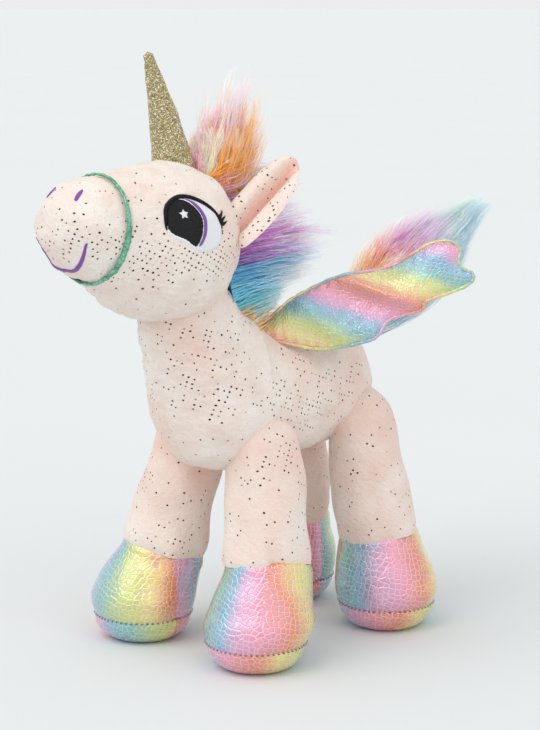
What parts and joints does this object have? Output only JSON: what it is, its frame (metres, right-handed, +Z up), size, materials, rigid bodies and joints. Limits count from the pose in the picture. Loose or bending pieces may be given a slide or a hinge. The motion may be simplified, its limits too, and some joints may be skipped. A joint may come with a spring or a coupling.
{
  "type": "plush unicorn toy",
  "caption": "Standing stuffed unicorn with a glitter horn, rainbow hair, padded wings, scale-print hooves and sprung soft head, legs, ears, wings and tail.",
  "frame": {"origin": "on the floor, under the middle of the whole toy with its tail", "axes": "+Z up, the face looks along -Y, +X is the toy's own left side"},
  "size_m": [0.1804, 0.3154, 0.2927],
  "materials": {
    "peach_velboa": "short pile with small dark foil dots",
    "stuffing": "soft polyester fibre",
    "metallic_piping": "metallic green foil",
    "gold_glitter": "glitter",
    "rainbow_foil": "glossy scale-pattern foil in rainbow pastels",
    "rainbow_fur": "long soft pile dyed in rainbow colours",
    "fur_backing": "knitted backing",
    "white_thread": "satin-stitch embroidery",
    "black_thread": "satin-stitch embroidery",
    "purple_thread": "satin-stitch embroidery"
  },
  "bodies": {
    "torso": {"torso_left_panel": "peach_velboa", "torso_right_panel": "peach_velboa", "torso_belly_panel": "peach_velboa", "torso_stuffing": "stuffing", "mane_backing_neck": "fur_backing", "mane_fur_neck": "rainbow_fur"},
    "head": {"head_left_panel": "peach_velboa", "head_right_panel": "peach_velboa", "muzzle_cover": "peach_velboa", "head_stuffing": "stuffing", "noseband_piping": "metallic_piping", "horn_cover": "gold_glitter", "horn_stuffing": "stuffing", "mouth_stitching": "purple_thread", "nostril_stitching": "purple_thread", "mane_backing_head": "fur_backing", "mane_fur_head": "rainbow_fur", "forelock_fur": "rainbow_fur", "eye_left_white": "white_thread", "eye_left_iris": "black_thread", "eye_left_ring": "purple_thread", "eye_left_star": "white_thread", "eye_left_lid": "black_thread", "eye_right_white": "white_thread", "eye_right_iris": "black_thread", "eye_right_ring": "purple_thread", "eye_right_star": "white_thread", "eye_right_lid": "black_thread"},
    "tail": {"tail_core": "stuffing", "tail_fur": "rainbow_fur"},
    "leg_front_left": {"leg_front_left_cover": "peach_velboa", "leg_front_left_stuffing": "stuffing", "leg_front_left_hoof": "rainbow_foil", "leg_front_left_sole": "rainbow_foil"},
    "leg_front_right": {"leg_front_right_cover": "peach_velboa", "leg_front_right_stuffing": "stuffing", "leg_front_right_hoof": "rainbow_foil", "leg_front_right_sole": "rainbow_foil"},
    "leg_hind_left": {"leg_hind_left_cover": "peach_velboa", "leg_hind_left_stuffing": "stuffing", "leg_hind_left_hoof": "rainbow_foil", "leg_hind_left_sole": "rainbow_foil"},
    "leg_hind_right": {"leg_hind_right_cover": "peach_velboa", "leg_hind_right_stuffing": "stuffing", "leg_hind_right_hoof": "rainbow_foil", "leg_hind_right_sole": "rainbow_foil"},
    "wing_left": {"wing_left_outer_face": "rainbow_foil", "wing_left_inner_face": "rainbow_foil", "wing_left_padding": "stuffing", "wing_left_binding": "rainbow_foil"},
    "ear_left": {"ear_left_inner": "peach_velboa", "ear_left_outer": "peach_velboa"},
    "wing_right": {"wing_right_outer_face": "rainbow_foil", "wing_right_inner_face": "rainbow_foil", "wing_right_padding": "stuffing", "wing_right_binding": "rainbow_foil"},
    "ear_right": {"ear_right_inner": "peach_velboa", "ear_right_outer": "peach_velboa"}
  },
  "joints": [
    {"name": "head_nod", "type": "hinge", "parent": "torso", "child": "head", "pos_m": [0, -0.074, 0.167], "axis": [1, 0, 0], "range_deg": [-8, 8], "stiffness_Nm_per_rad": 1.2},
    {"name": "leg_front_left_swing", "type": "hinge", "parent": "torso", "child": "leg_front_left", "pos_m": [0.025, -0.047, 0.103], "axis": [1, 0, 0], "range_deg": [-10, 10], "stiffness_Nm_per_rad": 1.5},
    {"name": "leg_front_right_swing", "type": "hinge", "parent": "torso", "child": "leg_front_right", "pos_m": [-0.025, -0.047, 0.103], "axis": [1, 0, 0], "range_deg": [-10, 10], "stiffness_Nm_per_rad": 1.5},
    {"name": "leg_hind_left_swing", "type": "hinge", "parent": "torso", "child": "leg_hind_left", "pos_m": [0.024, 0.023, 0.107], "axis": [1, 0, 0], "range_deg": [-10, 10], "stiffness_Nm_per_rad": 1.5},
    {"name": "leg_hind_right_swing", "type": "hinge", "parent": "torso", "child": "leg_hind_right", "pos_m": [-0.024, 0.023, 0.107], "axis": [1, 0, 0], "range_deg": [-10, 10], "stiffness_Nm_per_rad": 1.5},
    {"name": "wing_left_flap", "type": "hinge", "parent": "torso", "child": "wing_left", "pos_m": [0.021, -0.027, 0.155], "axis": [0, -1, 0], "range_deg": [-6, 14], "stiffness_Nm_per_rad": 0.05},
    {"name": "wing_right_flap", "type": "hinge", "parent": "torso", "child": "wing_right", "pos_m": [-0.021, -0.027, 0.155], "axis": [0, 1, 0], "range_deg": [-6, 14], "stiffness_Nm_per_rad": 0.05},
    {"name": "ear_left_flop", "type": "hinge", "parent": "head", "child": "ear_left", "pos_m": [0.031, -0.067, 0.211], "axis": [0.9234, 0.1839, -0.3368], "range_deg": [-8, 8], "stiffness_Nm_per_rad": 0.02},
    {"name": "ear_right_flop", "type": "hinge", "parent": "head", "child": "ear_right", "pos_m": [-0.031, -0.067, 0.211], "axis": [0.9234, -0.1839, 0.3368], "range_deg": [-8, 8], "stiffness_Nm_per_rad": 0.02},
    {"name": "tail_swing", "type": "hinge", "parent": "torso", "child": "tail", "pos_m": [0, 0.0395, 0.1438], "axis": [1, 0, 0], "range_deg": [-10, 10], "stiffness_Nm_per_rad": 0.15}
  ]
}
